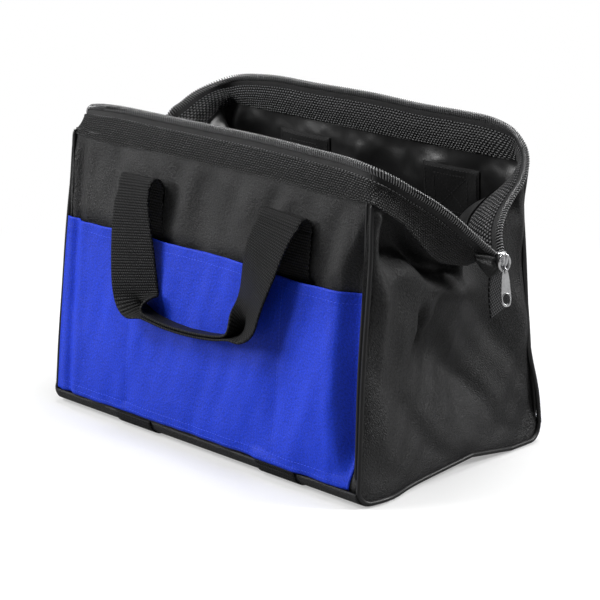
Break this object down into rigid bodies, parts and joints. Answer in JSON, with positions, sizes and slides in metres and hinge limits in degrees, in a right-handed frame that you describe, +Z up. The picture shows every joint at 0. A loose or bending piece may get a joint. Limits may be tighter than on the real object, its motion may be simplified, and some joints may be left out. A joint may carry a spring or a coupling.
{
  "type": "zippered tool bag",
  "caption": "Open-topped cloth tool bag with a wide zippered mouth, outer pockets and two webbing carrying handles.",
  "frame": {"origin": "middle of the base's underside", "axes": "+X along the bag's length towards the slider's end, front wall towards -Y, +Z up"},
  "size_m": [0.396, 0.2191, 0.2448],
  "materials": {
    "black_cloth": "plain coated woven cloth",
    "blue_cloth": "fine twill cloth",
    "strap_webbing": "ribbed webbing",
    "band_webbing": "coarse basket-weave webbing",
    "piping": "covered cord",
    "zip_tape": "fine woven tape",
    "zip_coil": "monofilament coil",
    "base_board": "stiff board",
    "stay_steel": "spring steel strip",
    "zip_metal": "dark nickel plate"
  },
  "bodies": {
    "base": {"base_panel": "black_cloth", "base_board": "base_board", "left_base_strap": "strap_webbing", "right_base_strap": "strap_webbing", "left_end_panel": "black_cloth", "right_end_panel": "black_cloth", "left_base_piping": "piping", "right_base_piping": "piping"},
    "front_wall": {"front_panel": "black_cloth", "front_pocket_panel": "blue_cloth", "front_band": "band_webbing", "front_stay": "stay_steel", "front_zip_tape": "zip_tape", "front_zip_coil": "zip_coil", "front_left_strap": "strap_webbing", "front_left_patch": "black_cloth", "front_left_gusset": "black_cloth", "front_left_piping": "piping", "front_right_strap": "strap_webbing", "front_right_patch": "black_cloth", "front_right_gusset": "black_cloth", "front_right_piping": "piping"},
    "front_handle": {"front_handle": "strap_webbing"},
    "front_left_arm": {"front_left_arm_band": "band_webbing", "front_left_arm_tape": "zip_tape", "front_left_arm_coil": "zip_coil"},
    "front_right_arm": {"front_right_arm_band": "band_webbing", "front_right_arm_tape": "zip_tape", "front_right_arm_coil": "zip_coil"},
    "rear_wall": {"rear_panel": "black_cloth", "rear_pocket_panel": "blue_cloth", "rear_band": "band_webbing", "rear_stay": "stay_steel", "rear_zip_tape": "zip_tape", "rear_zip_coil": "zip_coil", "rear_left_strap": "strap_webbing", "rear_left_patch": "black_cloth", "rear_left_gusset": "black_cloth", "rear_left_piping": "piping", "rear_right_strap": "strap_webbing", "rear_right_patch": "black_cloth", "rear_right_gusset": "black_cloth", "rear_right_piping": "piping"},
    "rear_handle": {"rear_handle": "strap_webbing"},
    "rear_left_arm": {"rear_left_arm_band": "band_webbing", "rear_left_arm_tape": "zip_tape", "rear_left_arm_coil": "zip_coil"},
    "rear_right_arm": {"rear_right_arm_band": "band_webbing", "rear_right_arm_tape": "zip_tape", "rear_right_arm_coil": "zip_coil"},
    "right_zip_end": {"zip_slider": "zip_metal", "right_zip_end_tab": "strap_webbing"},
    "left_zip_end": {"left_zip_end_tab": "strap_webbing"},
    "pull_ring": {"pull_ring": "zip_metal"},
    "pull_tab": {"pull_tab": "zip_metal"}
  },
  "joints": [
    {"name": "front_wall_lean", "type": "hinge", "parent": "base", "child": "front_wall", "pos_m": [0, -0.097, 0.0033], "axis": [-1, 0, 0], "range_deg": [0, 16.56]},
    {"name": "rear_wall_lean", "type": "hinge", "parent": "base", "child": "rear_wall", "pos_m": [0, 0.097, 0.0033], "axis": [1, 0, 0], "range_deg": [0, 17.7]},
    {"name": "front_left_arm_fold", "type": "hinge", "parent": "front_wall", "child": "front_left_arm", "pos_m": [0, -0.07647, 0.2342], "axis": [-1, 0, 0], "range_deg": [0, 32.86]},
    {"name": "rear_left_arm_fold", "type": "hinge", "parent": "rear_wall", "child": "rear_left_arm", "pos_m": [0, 0.08131, 0.23458], "axis": [1, 0, 0], "range_deg": [0, 22.85]},
    {"name": "front_right_arm_fold", "type": "hinge", "parent": "front_wall", "child": "front_right_arm", "pos_m": [0, -0.07647, 0.2342], "axis": [-1, 0, 0], "range_deg": [0, 32.86]},
    {"name": "rear_right_arm_fold", "type": "hinge", "parent": "rear_wall", "child": "rear_right_arm", "pos_m": [0, 0.08131, 0.23458], "axis": [1, 0, 0], "range_deg": [0, 22.85]},
    {"name": "left_zip_end_tilt", "type": "hinge", "parent": "front_left_arm", "child": "left_zip_end", "pos_m": [0, 0.017, 0.171], "axis": [1, 0, 0], "range_deg": [0, 49.52]},
    {"name": "right_zip_end_tilt", "type": "hinge", "parent": "front_right_arm", "child": "right_zip_end", "pos_m": [0, 0.017, 0.171], "axis": [1, 0, 0], "range_deg": [0, 49.52]},
    {"name": "pull_ring_swing", "type": "hinge", "parent": "right_zip_end", "child": "pull_ring", "pos_m": [0.19975, 0.017, 0.1654], "axis": [0, -1, 0], "range_deg": [0, 110]},
    {"name": "pull_tab_swing", "type": "hinge", "parent": "pull_ring", "child": "pull_tab", "pos_m": [0.19975, 0.017, 0.154], "axis": [0, -1, 0], "range_deg": [0, 60]},
    {"name": "front_handle_swing", "type": "hinge", "parent": "front_wall", "child": "front_handle", "pos_m": [0, -0.08205, 0.19676], "axis": [-1, 0, 0], "range_deg": [0, 160]},
    {"name": "rear_handle_swing", "type": "hinge", "parent": "rear_wall", "child": "rear_handle", "pos_m": [0, 0.0861, 0.19704], "axis": [1, 0, 0], "range_deg": [0, 160]}
  ],
  "couplings": [
    {"joint": "rear_wall_lean", "follows": "front_wall_lean", "ratio": 1.0658},
    {"joint": "front_left_arm_fold", "follows": "front_wall_lean", "ratio": 1.9783},
    {"joint": "rear_left_arm_fold", "follows": "front_wall_lean", "ratio": 1.3738},
    {"joint": "front_right_arm_fold", "follows": "front_wall_lean", "ratio": 1.9783},
    {"joint": "rear_right_arm_fold", "follows": "front_wall_lean", "ratio": 1.3738},
    {"joint": "left_zip_end_tilt", "follows": "front_wall_lean", "ratio": 2.9783},
    {"joint": "right_zip_end_tilt", "follows": "front_wall_lean", "ratio": 2.9783}
  ]
}
